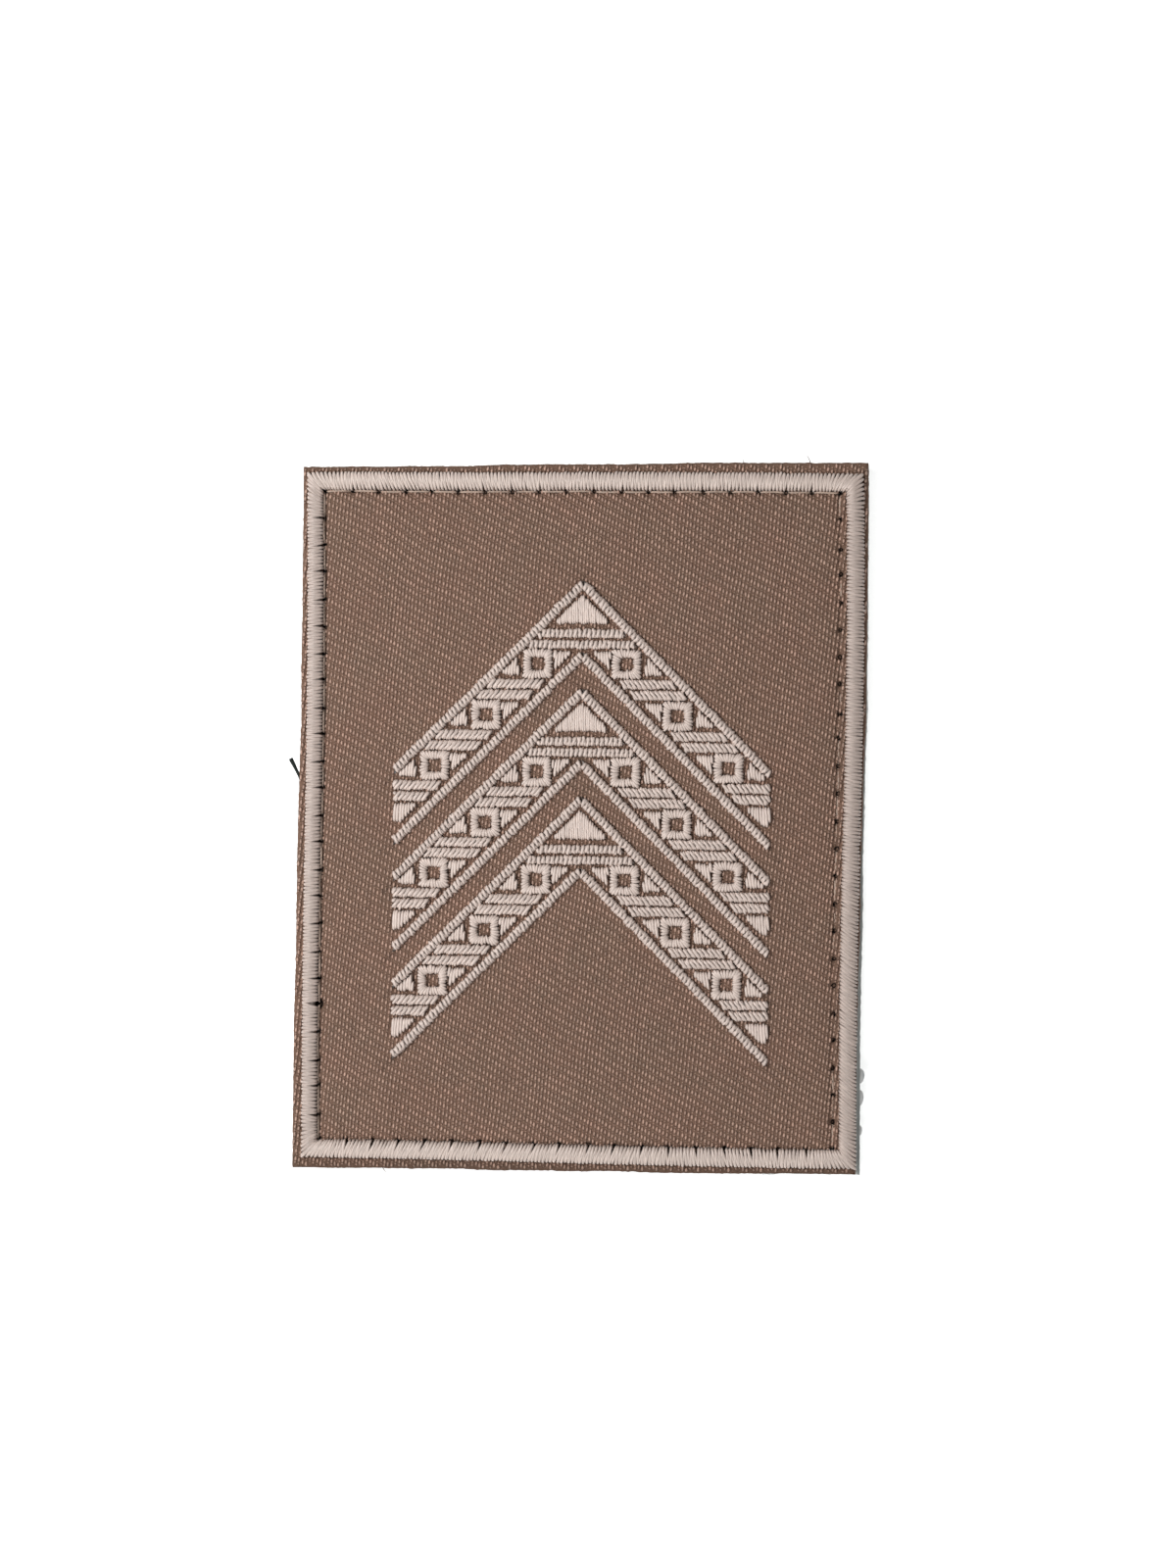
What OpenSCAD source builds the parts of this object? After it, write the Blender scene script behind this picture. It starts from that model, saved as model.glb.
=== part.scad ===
// A chest rank patch: stiffened twill with a satin-stitched border and three
// embroidered chevrons, sewn to a sheet of hook fastener. It lies face up, the
// points of the chevrons towards +Y. Sizes are in millimetres.

/* [Border and cloth] */
// Width of the satin border, outside to outside
border_w = 51; // [44:0.5:80]
// Height of the satin border, outside to outside
border_h = 63.2; // [56:0.2:100]
// Width of the band of satin stitches
border_band = 1.35; // [1:0.05:3]
// Height of the border's stitches above the cloth
border_rise = 0.55; // [0.3:0.05:1]
// Thickness of the stiffened twill
twill_t = 1; // [1:0.1:2]
// How much the cloth inside the seam stands above the cloth under the border
pillow = 0.12; // [0:0.01:0.3]
// Depth of the groove that the seam pulls into the cloth
seam_groove = 0.14; // [0.05:0.01:0.3]

/* [Hook backing] */
// Thickness of the backing, hooks included
backing_t = 1.5; // [1:0.1:2.5]
// Thickness of the tape that carries the hooks
tape_t = 0.45; // [0.3:0.05:0.8]
// How far the hooks stay in from the tape's edge
hook_inset = 0.5; // [0.2:0.1:2]

/* [Chevrons] */
// Half the width of a chevron, from its middle to its cut end
chevron_half = 17.3; // [12:0.1:21]
// Distance from one chevron's point to the next
chevron_pitch = 9.9; // [9:0.1:12]
// Height of the top chevron's point above the border's middle
top_point = 22; // [18:0.5:26]
// How far the chevrons are embroidered off the border's middle, along X
chevron_shift = 0.15; // [-1:0.05:1]
// Width of an outline rail, square to its run
rail_w = 0.66; // [0.4:0.02:1]
// Height of an outline rail above the cloth
rail_rise = 0.46; // [0.2:0.02:0.8]
// Distance down from the outer rail's point to the inner rail's point
rail_drop = 6.54; // [6.2:0.02:7.5]
// Height of the bars, squares and triangles above the cloth
motif_rise = 0.4; // [0.2:0.02:0.8]

/* [Motifs in an arm] */
// Distance that the motifs step down and out, from one square to the next
motif_step = 4.72; // [4.6:0.02:5.2]
// Number of squares in each arm
motif_count = 3; // [1:1:3]
// Side of a square
square_side = 2.6; // [2:0.05:2.8]
// Side of the opening in a square
square_hole = 1.15; // [0.6:0.05:1.6]
// Thickness of a bar in an arm
bar_t = 0.76; // [0.5:0.02:0.85]

/* [Hidden] */
// Air left between pieces that lie on each other
gap = 0.03;
cloth_brown = [0.42, 0.33, 0.28];
thread_beige = [0.8, 0.72, 0.67];
tape_grey = [0.78, 0.8, 0.79];

// How far the cut cloth stands past the border's corners, as [corner, x, y]
CUT_MARGIN = [
    ["bottom_left", 0.83, 0.94],
    ["bottom_right", 0.08, 0.43],
    ["top_right", 0.54, 1.05],
    ["top_left", 0.40, 0.50],
];
// How far the tape stands past the border's corners, as [corner, x, y]
TAPE_MARGIN = [
    ["bottom_left", 0.68, 0.80],
    ["bottom_right", 0.40, 0.72],
    ["top_right", 0.52, 0.96],
    ["top_left", 0.28, 0.46],
];
// Outward bow of each side: [side, half a wave, a whole wave]
SIDE_BOW = [
    ["bottom", 0.02, -0.05],
    ["right", 0.02, -0.13],
    ["top", 0.04, 0.03],
    ["left", -0.06, -0.08],
];
// How far the seam runs inside the border's inner edge: [side, inset]
SEAM_INSET = [["bottom", 0.26], ["right", 0.58], ["top", 0.28], ["left", 0.22]];
// Points along each side of an outline
SIDE_POINTS = 14;

// Rows of the point of a chevron, down from its tip: [part, top, bottom]
TIP_TRIANGLE = ["triangle", 1.46, 4.06];
TIP_BARS = [["upper", 4.68, 5.34], ["lower", 5.70, 6.34]];
// First row of squares: its top, and how far out its inner side is
square_top = 6.5;
square_in = 2.78;
// Tops of the two bars under each row of squares
BAR_TOPS = [9.27, 10.28];
// Gaps along X: bar to outer rail, bar to inner rail, triangle to square
bar_gap_out = 0.15;
bar_gap_in = 0.45;
triangle_gap_out = 0.5;
triangle_gap_in = 0.2;
// Legs of the small triangles beside a square
triangle_leg = 1.68;
// Last triangle of an arm: its top, its bottom and its gap to the inner rail
END_TRIANGLE = [20.8, 22.5];
end_gap = 0.75;

// Levels, from the surface that the patch lies on
twill_z = backing_t + gap;
margin_z = twill_z + twill_t - pillow;
field_z = twill_z + twill_t;
motif_z = field_z + gap;
border_z = margin_z + gap;
rail_wide = rail_w * sqrt(2);
// Rings of the cloth's top, from outside the seam's groove to the flat field:
// [distance in from the seam, height]
SEAM_RINGS = [
    [-0.22, margin_z],
    [0, margin_z - seam_groove],
    [0.4, margin_z + pillow * 0.2],
    [1.3, margin_z + pillow * 0.75],
    [2.6, field_z],
];

// Corners of a rectangle, in the order bottom left, bottom right, top right, top left
CORNER_SIGNS = [[-1, -1], [1, -1], [1, 1], [-1, 1]];
function corners(w, h, margin) = [
    for (i = [0:3]) [
        CORNER_SIGNS[i][0] * (w / 2 + margin[i][1]),
        CORNER_SIGNS[i][1] * (h / 2 + margin[i][2])
    ]
];
NO_MARGIN = [for (i = [0:3]) ["", 0, 0]];
BAND_MARGIN = [for (i = [0:3]) ["", -border_band, -border_band]];
// Corners of the seam, which runs at its own inset along each side
seam_x = border_w / 2 - border_band;
seam_y = border_h / 2 - border_band;
function seam_corners(inset) = [
    [-seam_x + SEAM_INSET[3][1] + inset, -seam_y + SEAM_INSET[0][1] + inset],
    [seam_x - SEAM_INSET[1][1] - inset, -seam_y + SEAM_INSET[0][1] + inset],
    [seam_x - SEAM_INSET[1][1] - inset, seam_y - SEAM_INSET[2][1] - inset],
    [-seam_x + SEAM_INSET[3][1] + inset, seam_y - SEAM_INSET[2][1] - inset]
];

// Nicks and waves of a cut edge, nothing at the corners
function ragged(side, t) =
    sin(180 * t) * (0.045 * sin(1130 * t + 70 * side) + 0.035 * sin(2310 * t + 41 * side));
// An outline with SIDE_POINTS points a side, bowed, and nicked where it is cut
function outline(corner, bow = 1, cut = 0) = [
    for (side = [0:3], j = [0:SIDE_POINTS - 1])
        let (
            a = corner[side],
            b = corner[(side + 1) % 4],
            t = j / SIDE_POINTS,
            along = (b - a) / norm(b - a),
            out = [along[1], -along[0]],
            push = bow * (SIDE_BOW[side][1] * sin(180 * t) + SIDE_BOW[side][2] * sin(360 * t))
                + cut * ragged(side, t)
        )
        a + (b - a) * t + out * push
];

cut_outline = outline(corners(border_w, border_h, CUT_MARGIN), 1, 1);
tape_outline = outline(corners(border_w, border_h, TAPE_MARGIN), 1, 0.8);
hook_outline = outline(corners(border_w - 2 * hook_inset, border_h - 2 * hook_inset, TAPE_MARGIN));
border_outer = outline(corners(border_w, border_h, NO_MARGIN));
border_inner = outline(corners(border_w, border_h, BAND_MARGIN));
// Centre of the whole patch's box, from above, which is the model's origin
all_x = [for (p = concat(cut_outline, tape_outline)) p[0]];
all_y = [for (p = concat(cut_outline, tape_outline)) p[1]];
middle = [(min(all_x) + max(all_x)) / 2, (min(all_y) + max(all_y)) / 2];

// A convex outline drawn in by d; its points run anticlockwise
function inset(points, d) = [
    for (i = [0:len(points) - 1])
        let (
            n = len(points),
            a = points[(i + n - 1) % n],
            b = points[i],
            c = points[(i + 1) % n],
            u = [a[1] - b[1], b[0] - a[0]] / norm(b - a),
            v = [b[1] - c[1], c[0] - b[0]] / norm(c - b)
        )
        b + d * (u + v) / (1 + u * v)
];
// An outline a share t of the way to another with as many points
function between(from, to, t) = [for (i = [0:len(from) - 1]) from[i] + (to[i] - from[i]) * t];
function at_height(points, z) = [for (p = points) [p[0], p[1], z]];

// A closed solid through rings of equal count, from the lowest to the highest
module loft(rings) {
    n = len(rings[0]);
    last = len(rings) - 1;
    sides = [
        for (i = [0:last - 1], j = [0:n - 1])
            let (k = (j + 1) % n, a = i * n, b = (i + 1) * n)
            each [[a + j, b + j, b + k], [a + j, b + k, a + k]]
    ];
    caps = [[for (j = [0:n - 1]) j], [for (j = [n - 1:-1:0]) last * n + j]];
    polyhedron([for (ring = rings) each ring], concat(sides, caps));
}

// Cross-section of a satin column: [share of the width, share of the height]
SATIN_SECTION = [[0, 0], [0.03, 0.45], [0.16, 0.82], [0.5, 1], [0.84, 0.82], [0.97, 0.45], [1, 0]];
// A satin column between two edges. It is closed to a ring, or has two ends
// that are this share of its height.
module satin_column(near, far, z, rise, closed = false, end_share = 1) {
    n = len(near);
    m = len(SATIN_SECTION);
    points = [
        for (j = [0:n - 1])
            let (height = closed || (j > 0 && j < n - 1) ? rise : rise * end_share)
            for (s = SATIN_SECTION)
                let (p = near[j] + (far[j] - near[j]) * s[0])
                [p[0], p[1], z + height * s[1]]
    ];
    runs = [
        for (j = [0:closed ? n - 1 : n - 2], k = [0:m - 1])
            let (a = j * m, b = ((j + 1) % n) * m, l = (k + 1) % m)
            each [[a + k, b + k, b + l], [a + k, b + l, a + l]]
    ];
    ends = closed
        ? []
        : [[for (k = [0:m - 1]) k], [for (k = [m - 1:-1:0]) (n - 1) * m + k]];
    polyhedron(points, concat(runs, ends));
}

// A block of satin stitches over a convex outline, rounded at its rim
module satin_pad(points, rise = motif_rise) {
    loft([
        at_height(points, motif_z),
        at_height(points, motif_z + rise * 0.5),
        at_height(inset(points, 0.07), motif_z + rise * 0.85),
        at_height(inset(points, 0.22), motif_z + rise)
    ]);
}

module hook_backing() {
    color(tape_grey)
        translate(-middle) {
            translate([0, 0, backing_t - tape_t])
                linear_extrude(tape_t)
                    polygon(tape_outline);
            linear_extrude(backing_t - tape_t / 2)
                polygon(hook_outline);
        }
}

module twill_ground() {
    seam_outline = outline(seam_corners(0));
    edge_rings = [
        at_height(between(cut_outline, seam_outline, 0.1), twill_z),
        at_height(cut_outline, twill_z + twill_t * 0.3),
        at_height(cut_outline, twill_z + twill_t * 0.6),
        at_height(between(cut_outline, seam_outline, 0.06), margin_z)
    ];
    top_rings = [for (ring = SEAM_RINGS) at_height(outline(seam_corners(ring[0])), ring[1])];
    color(cloth_brown)
        translate(-middle)
            loft(concat(edge_rings, top_rings));
}

// One side of an outline, from corner to corner, short of both by half a gap
function side_run(outline_points, side) =
    let (
        n = len(outline_points),
        run = [for (j = [0:SIDE_POINTS]) outline_points[(side * SIDE_POINTS + j) % n]],
        along = (run[SIDE_POINTS] - run[0]) / norm(run[SIDE_POINTS] - run[0])
    )
    [
        for (j = [0:SIDE_POINTS])
            run[j] + along * (j == 0 ? gap / 2 : j == SIDE_POINTS ? -gap / 2 : 0)
    ];

// One side of the border, mitred where it meets its neighbours
module border_side(side) {
    color(thread_beige)
        translate(-middle)
            satin_column(
                side_run(border_inner, side), side_run(border_outer, side), border_z, border_rise
            );
}

// Points are drawn for the right arm, as [out from the middle, down from the
// chevron's tip]. This places them, mirrored for the left arm.
function place(points, side, tip) =
    let (there = [for (p = points) [side * p[0] + chevron_shift, tip - p[1]] - middle])
    side > 0 ? there : [for (i = [len(there) - 1:-1:0]) there[i]];
// Where the rails' facing edges are, this far down from the chevron's tip
function under_outer_rail(down) = down - rail_wide;
function over_inner_rail(down) = down - rail_drop;

// Half of a rail: its upper edge starts this far down from the chevron's tip
module rail(drop, side, tip) {
    blunt = 0.12;
    across = [gap / 2, gap / 2 + blunt, chevron_half - blunt, chevron_half];
    upper = place([for (x = across) [x, drop + x]], side, tip);
    lower = place([for (x = across) [x, drop + x + rail_wide]], side, tip);
    color(thread_beige) satin_column(upper, lower, motif_z, rail_rise, end_share = 0.7);
}

module tip_triangle(tip) {
    half = TIP_TRIANGLE[2] - TIP_TRIANGLE[1];
    color(thread_beige)
        satin_pad(place([
            [-half, TIP_TRIANGLE[2]], [half, TIP_TRIANGLE[2]], [0, TIP_TRIANGLE[1]]
        ], 1, tip));
}

module tip_bar(row, tip) {
    top = TIP_BARS[row][1];
    bottom = TIP_BARS[row][2];
    top_half = under_outer_rail(top) - bar_gap_out;
    bottom_half = under_outer_rail(bottom) - bar_gap_out;
    color(thread_beige)
        satin_pad(place([
            [-bottom_half, bottom], [bottom_half, bottom], [top_half, top], [-top_half, top]
        ], 1, tip));
}

module squares(side, tip) {
    rim = (square_side - square_hole) / 2;
    color(thread_beige)
        for (k = [0:motif_count - 1]) {
            x = square_in + k * motif_step;
            down = square_top + k * motif_step;
            outer = [
                [x, down + square_side], [x + square_side, down + square_side],
                [x + square_side, down], [x, down]
            ];
            rim_outer = place(outer, side, tip);
            satin_column(inset(rim_outer, rim), rim_outer, motif_z, motif_rise, closed = true);
        }
}

module outer_triangles(side, tip) {
    color(thread_beige)
        for (k = [0:motif_count - 1]) {
            x = square_in + square_side + triangle_gap_out + k * motif_step;
            base = square_top + 0.88 * square_side + k * motif_step;
            satin_pad(place([[x, base], [x + triangle_leg, base], [x, base - triangle_leg]], side, tip));
        }
}

module inner_triangles(side, tip) {
    color(thread_beige)
        for (k = [0:motif_count - 1]) {
            x = square_in - triangle_gap_in + k * motif_step;
            top = square_top + 0.07 * square_side + k * motif_step;
            satin_pad(place([[x, top + triangle_leg], [x, top], [x - triangle_leg, top]], side, tip));
        }
}

module bars(side, tip) {
    color(thread_beige)
        for (k = [0:motif_count - 1], first = BAR_TOPS) {
            top = first + k * motif_step;
            bottom = top + bar_t;
            satin_pad(place([
                [over_inner_rail(bottom) + bar_gap_in, bottom],
                [min(chevron_half, under_outer_rail(bottom) - bar_gap_out), bottom],
                [min(chevron_half, under_outer_rail(top) - bar_gap_out), top],
                [over_inner_rail(top) + bar_gap_in, top]
            ], side, tip));
        }
}

module end_triangle(side, tip) {
    top = END_TRIANGLE[0];
    bottom = END_TRIANGLE[1];
    color(thread_beige)
        satin_pad(place([
            [chevron_half, bottom], [chevron_half, top],
            [over_inner_rail(top) + end_gap, top],
            [over_inner_rail(bottom) + end_gap, bottom]
        ], side, tip));
}

// Chevrons and arms: [name, number of pitches down] and [name, side]
CHEVRONS = [["top", 0], ["middle", 1], ["bottom", 2]];
ARMS = [["left", -1], ["right", 1]];
TIP_PARTS = ["tip_triangle", "tip_bar_upper", "tip_bar_lower"];
ARM_PARTS = [
    "outer_rail", "inner_rail", "squares", "outer_triangles", "inner_triangles", "bars", "end_triangle"
];

module tip_part(part, tip) {
    if (part == "tip_triangle") tip_triangle(tip);
    if (part == "tip_bar_upper") tip_bar(0, tip);
    if (part == "tip_bar_lower") tip_bar(1, tip);
}

module arm_part(part, side, tip) {
    if (part == "outer_rail") rail(0, side, tip);
    if (part == "inner_rail") rail(rail_drop, side, tip);
    if (part == "squares") squares(side, tip);
    if (part == "outer_triangles") outer_triangles(side, tip);
    if (part == "inner_triangles") inner_triangles(side, tip);
    if (part == "bars") bars(side, tip);
    if (part == "end_triangle") end_triangle(side, tip);
}

hook_backing();
twill_ground();
for (side = [0:3])
    border_side(side);
for (c = CHEVRONS) {
    tip = top_point - c[1] * chevron_pitch;
    for (part = TIP_PARTS)
        tip_part(part, tip);
    for (a = ARMS, part = ARM_PARTS)
        arm_part(part, a[1], tip);
}
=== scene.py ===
"""A chest rank patch: satin-stitched border and chevrons on brown twill, on hook tape.

The stitches, the weave, the seam and the hooks are built strand by strand over the
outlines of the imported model. Lengths in this script are in millimetres, and MM turns
them into Blender's metres when a mesh is made. Only the floor and the lights are placed
in metres.
"""

import math

import bpy
import numpy as np
from mathutils import Matrix, Vector


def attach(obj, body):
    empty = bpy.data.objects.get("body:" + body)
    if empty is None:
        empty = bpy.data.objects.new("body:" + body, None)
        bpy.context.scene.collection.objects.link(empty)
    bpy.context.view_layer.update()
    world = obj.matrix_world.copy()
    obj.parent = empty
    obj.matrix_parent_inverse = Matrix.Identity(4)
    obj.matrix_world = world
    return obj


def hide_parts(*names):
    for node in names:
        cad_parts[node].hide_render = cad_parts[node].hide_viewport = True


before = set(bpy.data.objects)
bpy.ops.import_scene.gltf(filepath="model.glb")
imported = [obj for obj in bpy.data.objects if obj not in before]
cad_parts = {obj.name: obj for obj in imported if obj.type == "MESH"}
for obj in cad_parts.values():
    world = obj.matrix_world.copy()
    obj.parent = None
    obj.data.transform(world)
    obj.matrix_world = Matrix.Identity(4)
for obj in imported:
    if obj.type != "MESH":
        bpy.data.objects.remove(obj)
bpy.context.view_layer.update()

MM = 0.001
UP = np.array([0.0, 0.0, 1.0])
rng = np.random.default_rng(11)


def both_ways(*half):
    """Rows that start with a share up to a half, and the same rows back to the end."""
    return [*half, *((1 - share, *rest) for share, *rest in half[-2::-1])]


# Embroidery thread: half its width and half its height where it lies on the cloth
THREAD_W = 0.16
THREAD_H = 0.08
# A stitch along its run: share of the run, share of its height, share of its width
ARCH = np.array(both_ways((0, -0.3, 0.35), (0.06, 0.58, 0.8), (0.22, 0.93, 1), (0.5, 1, 1.06)))
BORDER_ARCH = np.array(both_ways((0, -0.3, 0.45), (0.05, 0.62, 0.84), (0.17, 0.93, 0.98), (0.5, 1, 1)))
# Stitches to a side of a hollow square
SQUARE_STITCHES = 8
# The border's zigzag: from one hole to the next, and how far from a corner its threads fan
BORDER_PITCH = 0.33
BORDER_FAN = 3.2
# How the border's threads lean: shares of a side's length, and there how much farther
# along +X or +Y a thread's outer end lies than its inner end
BORDER_LEAN = {
    "bottom": ((0, 0.1, 0.55, 0.8, 1), (0, -0.4, -0.3, 0.5, 0)),
    "right": ((0, 0.08, 0.3, 0.5, 1), (0, -0.8, -0.65, 0, 0)),
    "top": ((0, 0.15, 0.5, 0.85, 1), (0, 0, 0.15, 0.65, 0)),
    "left": ((0, 0.1, 0.6, 0.9, 1), (0, 0.3, 0.25, 0.1, 0)),
}
# Weave: from one float to the next along the twill line, and across it, and how many
# steps each way reach past the patch from its middle
FLOAT_STEP = np.array([0.320, -0.172])
FLOAT_ROW = np.array([0.398, 0.524])
FLOAT_REACH = 140
# Half the length, half the width and the height of a float above the cloth
FLOAT_SIZE = (0.255, 0.155, 0.09)
# Half the length, half the width and the height of the weft's dot between two floats
WEFT_SIZE = (0.14, 0.14, 0.07)
# Outline of a float: shares of its half length and half width, and the shares of both
# that are left at its top
FLOAT_RIM = np.array([[1, 0.45], [0, 1], [-1, 0.45], [-1, -0.45], [0, -1], [1, -0.45]])
FLOAT_TOP = (0.52, 0.42)
# Seam: from needle hole to needle hole, and the holes' radius and depth
SEAM_PITCH = 2.5
HOLE_R = 0.2
HOLE_DEPTH = 0.42
# A needle hole from its root over its pressed lip to its bottom: radius and height
HOLE_PROFILE = ((0.21, -0.3), (0.21, 0.0), (0.2, 0.03), (0.16, 0.01), (0.1, -0.16), (0.04, -0.3))
# One hole is torn wider: its place, and how many times wider
TORN_HOLE = np.array([-23.96, -17.74])
TORN_WIDTH = 1.9
# How deep the seam's thread lies in the groove, side by side from the bottom round to the left
SEAM_SUNK = (0.2, 0.16, 0.03, -0.1)
# A stitch of the seam: half its thickness, how far from a hole's middle it sets off, and
# along its run the share of the run, of its height and of its width
SEAM_R = 0.1
SEAM_START = 0.13
SEAM_ARCH = np.array(both_ways((0, -1.6, 0.8), (0.05, -0.2, 0.9), (0.14, 0.75, 1), (0.3, 1, 1), (0.5, 1, 1)))
# How far a needle hole of the seam spreads the border's threads
WEDGE = {"bottom": 0.1, "right": 0.02, "top": 0.05, "left": 0.1}
# How far the parts of a long stitch overlap, as a share of it
OVERLAP = 0.12
# How far the stitches' thin ends reach past a motif, and past the border inwards and outwards
MOTIF_REACH = 0.03
BORDER_REACH = {"bottom": (0.27, 0.03), "right": (0.0, 0.19), "top": (0.15, 0.12), "left": (0.14, -0.05)}
# Columns and rows of the cloth's upper face
CLOTH_GRID = (206, 256)
# How much farther out than in the imported model the cloth is cut, and how much painted shade
# darkens its margin below the border
CUT_OUT = {"bottom": 0.09, "top": 0.06}
BOTTOM_PAINTED_SHADE = 0.2
# The cloth's cut edge going down: share of the way down, and how far it stands out
CUT_PROFILE = ((0.25, 0.06), (0.5, 0.1), (0.75, 0.05), (1.0, -0.2))
# Across the seam: the groove's width outside it, and the pillow's width inside it
GROOVE_WIDTH = 0.22
PILLOW_WIDTH = 2.6
# How far outside the seam the cloth's uneven height fades out
UNEVEN_MARGIN = 3
# How far from a motif's edge and from the border's edges the stitches draw the cloth down,
# and how deep
MOTIF_PULL = 0.28
BORDER_PULL = 0.22
PULL_DEPTH = 0.05
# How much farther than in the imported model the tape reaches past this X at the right, and
# half as much again below this Y
TAPE_OUT = 0.1
TAPE_RIGHT = 25
TAPE_LOWER = -5
# Hooks: spacing of their rows, spacing in a row, and half their thickness
HOOK_ROW = 1.35
HOOK_PITCH = 1.1
HOOK_R = 0.09
# A hook from the tape down: height over the floor, and how far it has bent over there
HOOK_PROFILE = ((0.65, 0.0), (0.27, 0.07), (HOOK_R, 0.3), (0.2, 0.5), (0.4, 0.55))


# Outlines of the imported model


def solids_of(node):
    """The corners of each closed solid of a node, each corner once."""
    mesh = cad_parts[node].data
    corners = np.array([v.co for v in mesh.vertices]) / MM
    points, index = np.unique(np.round(corners, 4), axis=0, return_inverse=True)
    edges = index.ravel()[np.array([e.vertices for e in mesh.edges])]
    label = np.arange(len(points))
    while True:
        low = np.minimum(label[edges[:, 0]], label[edges[:, 1]])
        new = label.copy()
        np.minimum.at(new, edges[:, 0], low)
        np.minimum.at(new, edges[:, 1], low)
        if (new == label).all():
            return [points[label == k] for k in np.unique(label)]
        label = new


def ring_at(points, z):
    """The corners at a height, from above and in order round their middle."""
    ring = points[abs(points[:, 2] - z) < 0.003, :2]
    x, y = (ring - ring.mean(axis=0)).T
    return ring[np.argsort(np.arctan2(y, x))]


def footprint(points):
    return ring_at(points, points[:, 2].min())


def sides_of(ring):
    """A ring with four corners as its bottom, right, top and left side, along +X or +Y."""
    corner = [int(np.argmax(ring @ np.array(s))) for s in ((-1, -1), (1, -1), (1, 1), (-1, 1))]
    runs = []
    for a, b in zip(corner, corner[1:] + corner[:1]):
        last = b if b > a else b + len(ring)
        runs.append(ring[np.arange(a, last + 1) % len(ring)])
    bottom, right, top, left = runs
    return bottom, right, top[::-1], left[::-1]


def on_side(side, share):
    """Points at shares of a side's length, from 0 to 1."""
    at = np.linspace(0, 1, len(side))
    return np.stack([np.interp(share, at, side[:, k]) for k in (0, 1)], axis=-1)


def heading(angle):
    """Unit steps on the plane at angles."""
    return np.stack([np.cos(angle), np.sin(angle)], axis=-1)


def left_of(way):
    """Steps on the plane turned a quarter to the left."""
    return np.stack([-way[..., 1], way[..., 0]], axis=-1)


def normals(edges):
    """The unit normals to the left of edges, which point into a ring."""
    return left_of(edges) / np.linalg.norm(edges, axis=1)[:, None]


def inset(ring, d):
    """A convex ring drawn in by d."""
    u = normals(ring - np.roll(ring, 1, axis=0))
    v = normals(np.roll(ring, -1, axis=0) - ring)
    return ring + d * (u + v) / (1 + (u * v).sum(axis=1))[:, None]


def depth_in(ring, xy):
    """How far points lie inside a convex ring, negative outside."""
    normal = normals(np.roll(ring, -1, axis=0) - ring)
    return ((xy[:, None] - ring[None]) * normal[None]).sum(axis=2).min(axis=1)


# Meshes


class Shape:
    """Corners, faces and marks of one piece, gathered part by part."""

    def __init__(self):
        self.corners, self.faces, self.marks, self.count = [], [], [], 0

    def add(self, corners, faces, marks=None):
        """faces is a list of arrays of corner numbers. marks holds three numbers a corner."""
        corners = np.asarray(corners, float).reshape(-1, 3)
        marks = np.zeros(corners.shape) if marks is None else np.asarray(marks).reshape(-1, 3)
        self.corners.append(corners)
        self.marks.append(marks)
        self.faces += [np.asarray(f) + self.count for f in faces]
        self.count += len(corners)

    def piece(self, name, material, slot, replaces=()):
        """Makes the object, which rides on the body and may stand for nodes."""
        mesh = bpy.data.meshes.new(name)
        faces = [f for block in self.faces for f in block.tolist()]
        mesh.from_pydata((np.concatenate(self.corners) * MM).tolist(), [], faces)
        mesh.polygons.foreach_set("use_smooth", [True] * len(faces))
        mark = mesh.attributes.new("mark", "FLOAT_VECTOR", "POINT")
        mark.data.foreach_set("vector", np.concatenate(self.marks).ravel().astype(np.float32))
        mesh.materials.append(material)
        obj = add_object(name, mesh)
        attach(obj, "root")
        if replaces:
            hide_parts(*replaces)
        return obj


def add_tubes(shape, paths, side, half_w, half_h, sides=6, own=None):
    """Adds closed strands. paths is (strand, ring, xyz), side the level way across each,
    and half_w and half_h are (strand, ring). A strand's marks are the share along it, the
    share round it, which is a half on top, and a number of its own."""
    n, rings, _ = paths.shape
    tangent = np.gradient(paths, axis=1)
    tangent /= np.linalg.norm(tangent, axis=2, keepdims=True)
    across = np.broadcast_to(side[:, None], paths.shape)
    top = np.cross(tangent, across)
    turn = 2 * math.pi * (np.arange(sides) + 0.5) / sides - math.pi / 2
    wide = (half_w[..., None] * np.cos(turn))[..., None]
    high = (half_h[..., None] * np.sin(turn))[..., None]
    corners = paths[:, :, None] + across[:, :, None] * wide + top[:, :, None] * high
    index = np.arange(n * rings * sides).reshape(n, rings, sides)
    ahead = np.roll(index, -1, axis=2)
    quads = np.stack([index[:, :-1], ahead[:, :-1], ahead[:, 1:], index[:, 1:]], axis=-1)
    own = (rng.random(n) if own is None else own)[:, None, None]
    steps = np.linalg.norm(np.diff(paths, axis=1), axis=2)
    along = np.concatenate([np.zeros((n, 1)), np.cumsum(steps, axis=1)], axis=1)
    along = (along / along[:, -1:])[:, :, None]
    shares = (np.arange(sides) + 0.5) / sides
    marks = np.stack(np.broadcast_arrays(along, shares[None, None], own), axis=-1)
    shape.add(corners, [quads.reshape(-1, 4), index[:, 0, ::-1], index[:, -1]], marks)


def add_loft(shape, rings):
    """Adds a closed solid through rings of as many corners each, from the lowest up."""
    rings = np.asarray(rings)
    count, n, _ = rings.shape
    index = np.arange(count * n).reshape(count, n)
    ahead = np.roll(index, -1, axis=1)
    quads = np.stack([index[:-1], ahead[:-1], ahead[1:], index[1:]], axis=-1).reshape(-1, 4)
    shape.add(rings, [quads, index[:1, ::-1], index[-1:]])


def at_height(ring, z):
    return np.column_stack([ring, np.full(len(ring), z)])


def lifted(xy, z):
    """Places on the plane with their heights."""
    return np.concatenate([xy, z[..., None]], axis=-1)


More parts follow.
